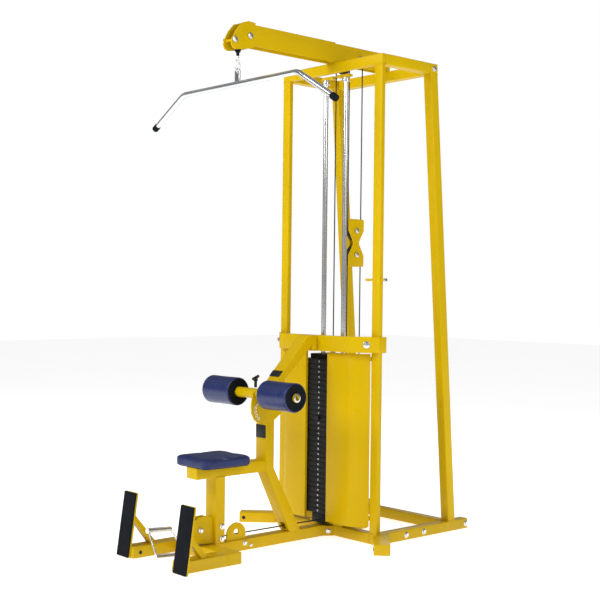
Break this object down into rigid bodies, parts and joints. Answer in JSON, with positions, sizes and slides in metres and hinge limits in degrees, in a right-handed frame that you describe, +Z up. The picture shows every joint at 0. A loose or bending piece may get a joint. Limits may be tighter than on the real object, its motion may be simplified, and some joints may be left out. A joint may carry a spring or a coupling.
{
  "type": "lat pulldown and low row machine",
  "caption": "Selectorised lat pulldown tower with overhead arm, wide bar, seat with thigh rollers, braced foot plates and low row handle.",
  "frame": {"origin": "centre of the footprint on the floor", "axes": "+Z up, -Y towards the user's side, +X to the right of someone standing at -Y and facing the machine"},
  "size_m": [1.3244, 1.69, 2.409],
  "materials": {
    "painted_steel": "semi-gloss golden yellow powder coat",
    "navy_vinyl": "grained vinyl",
    "navy_foam": "smooth skinned foam",
    "grip_rubber": "matte grip rubber",
    "coated_cable": "satin coated wire rope",
    "black_iron": "semi-matte black paint",
    "black_plastic": "satin",
    "chromed_steel": "polished chrome"
  },
  "bodies": {
    "frame": {"upright_left": "painted_steel", "upright_right": "painted_steel", "top_rail_left": "painted_steel", "top_rail_right": "painted_steel", "rear_leg_left": "painted_steel", "rear_leg_right": "painted_steel", "base_side_left": "painted_steel", "base_side_right": "painted_steel", "foot_left": "painted_steel", "foot_right": "painted_steel", "top_front_tube": "painted_steel", "top_rear_tube": "painted_steel", "base_front_tube": "painted_steel", "base_rear_tube": "painted_steel", "mid_crossbar": "painted_steel", "arm": "painted_steel", "mast": "painted_steel", "seat_frame": "painted_steel", "base_spine": "painted_steel", "foot_rail_left": "painted_steel", "foot_rail_right": "painted_steel", "shroud_left": "painted_steel", "shroud_right": "painted_steel", "low_bracket": "painted_steel", "foot_grip_left": "grip_rubber", "foot_grip_right": "grip_rubber", "seat_pad": "navy_vinyl", "guide_rods": "chromed_steel", "stack_lower": "black_iron", "cable_arm": "coated_cable", "cable_arm_wrap": "coated_cable", "cable_bar": "coated_cable", "cable_stem": "coated_cable", "cable_block_front": "coated_cable", "cable_block_rear": "coated_cable", "cable_low_front": "coated_cable", "cable_low_rear": "coated_cable", "cable_low_run": "coated_cable", "cable_row": "coated_cable"},
    "stack": {"stack_upper": "black_iron", "stack_stem": "chromed_steel"},
    "pin": {"selector_pin": "black_plastic"},
    "bar_line": {"cable_stop": "grip_rubber"},
    "hook": {"snap_hook": "chromed_steel"},
    "bar": {"lat_bar": "chromed_steel"},
    "block": {"block_plates": "painted_steel", "cable_loop_upper": "coated_cable", "cable_loop_lower": "coated_cable"},
    "handle": {"row_handle": "chromed_steel"},
    "thigh_arm": {"roller_arm": "painted_steel"},
    "roller_l": {"roller_left": "navy_foam"},
    "roller_r": {"roller_right": "navy_foam"},
    "knob": {"adjust_knob": "black_plastic"},
    "pulley_head_wheel": {"pulley_head": "black_plastic"},
    "pulley_arm_front_wheel": {"pulley_arm_front": "black_plastic"},
    "pulley_arm_rear_wheel": {"pulley_arm_rear": "black_plastic"},
    "pulley_block_upper_wheel": {"pulley_block_upper": "black_plastic"},
    "pulley_block_lower_wheel": {"pulley_block_lower": "black_plastic"},
    "pulley_low_rear_wheel": {"pulley_low_rear": "black_plastic"},
    "pulley_low_front_wheel": {"pulley_low_front": "black_plastic"}
  },
  "joints": [
    {"name": "stack_lift", "type": "slide", "parent": "frame", "child": "stack", "axis": [0, 0, 1], "range_m": [0, 0.9], "deforming": ["cable_stem"]},
    {"name": "pin_pull", "type": "slide", "parent": "stack", "child": "pin", "axis": [0, -1, 0], "range_m": [0, 0.112]},
    {"name": "bar_drop", "type": "slide", "parent": "frame", "child": "bar_line", "axis": [0, 0, -1], "range_m": [0, 0.9], "deforming": ["cable_bar"]},
    {"name": "hook_swivel", "type": "hinge", "parent": "bar_line", "child": "hook", "pos_m": [0, -0.392, 2.24], "axis": [0, 0, 1], "range_deg": [-50, 50]},
    {"name": "bar_rock", "type": "hinge", "parent": "hook", "child": "bar", "pos_m": [0, -0.392, 2.184], "axis": [0, 1, 0], "range_deg": [-20, 20]},
    {"name": "block_drop", "type": "slide", "parent": "frame", "child": "block", "axis": [0, 0, -1], "range_m": [0, 0.4], "deforming": ["cable_block_front", "cable_block_rear", "cable_low_front", "cable_low_rear"]},
    {"name": "row_pull", "type": "slide", "parent": "frame", "child": "handle", "axis": [0, -0.9976, 0.0698], "range_m": [0, 0.8], "deforming": ["cable_row"]},
    {"name": "pulley_head_spin", "type": "hinge", "parent": "frame", "child": "pulley_head_wheel", "pos_m": [0, -0.347, 2.343], "axis": [1, 0, 0], "continuous": true},
    {"name": "pulley_arm_front_spin", "type": "hinge", "parent": "frame", "child": "pulley_arm_front_wheel", "pos_m": [0, 0.272, 2.304], "axis": [1, 0, 0], "continuous": true},
    {"name": "pulley_arm_rear_spin", "type": "hinge", "parent": "frame", "child": "pulley_arm_rear_wheel", "pos_m": [0, 0.362, 2.343], "axis": [1, 0, 0], "continuous": true},
    {"name": "pulley_block_upper_spin", "type": "hinge", "parent": "block", "child": "pulley_block_upper_wheel", "pos_m": [0, 0.362, 1.489], "axis": [1, 0, 0], "continuous": true},
    {"name": "pulley_block_lower_spin", "type": "hinge", "parent": "block", "child": "pulley_block_lower_wheel", "pos_m": [0, 0.362, 1.369], "axis": [1, 0, 0], "continuous": true},
    {"name": "pulley_low_rear_spin", "type": "hinge", "parent": "frame", "child": "pulley_low_rear_wheel", "pos_m": [0, 0.362, 0.12], "axis": [1, 0, 0], "continuous": true},
    {"name": "pulley_low_front_spin", "type": "hinge", "parent": "frame", "child": "pulley_low_front_wheel", "pos_m": [0, -0.59, 0.12], "axis": [1, 0, 0], "continuous": true},
    {"name": "thigh_arm_swing", "type": "hinge", "parent": "frame", "child": "thigh_arm", "pos_m": [0, -0.204, 0.655], "axis": [1, 0, 0], "range_deg": [-20, 40]},
    {"name": "roller_left_spin", "type": "hinge", "parent": "thigh_arm", "child": "roller_l", "pos_m": [-0.202, -0.283, 0.712], "axis": [1, 0, 0], "continuous": true},
    {"name": "roller_right_spin", "type": "hinge", "parent": "thigh_arm", "child": "roller_r", "pos_m": [0.202, -0.283, 0.712], "axis": [1, 0, 0], "continuous": true},
    {"name": "knob_lift", "type": "slide", "parent": "thigh_arm", "child": "knob", "axis": [0, 0, 1], "range_m": [0, 0.012], "stiffness_N_per_m": 900, "springref_m": -0.003}
  ],
  "couplings": [
    {"joint": "bar_drop", "follows": "stack_lift", "ratio": 1},
    {"joint": "row_pull", "follows": "block_drop", "ratio": 2},
    {"joint": "pulley_head_spin", "follows": "stack_lift", "rad_per_m": 22.222},
    {"joint": "pulley_arm_rear_spin", "follows": "stack_lift", "rad_per_m": 22.222},
    {"joint": "pulley_block_upper_spin", "follows": "stack_lift", "rad_per_m": 22.222},
    {"joint": "pulley_arm_front_spin", "follows": "stack_lift", "rad_per_m": -22.222},
    {"joint": "pulley_low_front_spin", "follows": "block_drop", "rad_per_m": -44.444},
    {"joint": "pulley_low_rear_spin", "follows": "block_drop", "rad_per_m": -44.444},
    {"joint": "pulley_block_lower_spin", "follows": "block_drop", "rad_per_m": -22.222}
  ]
}
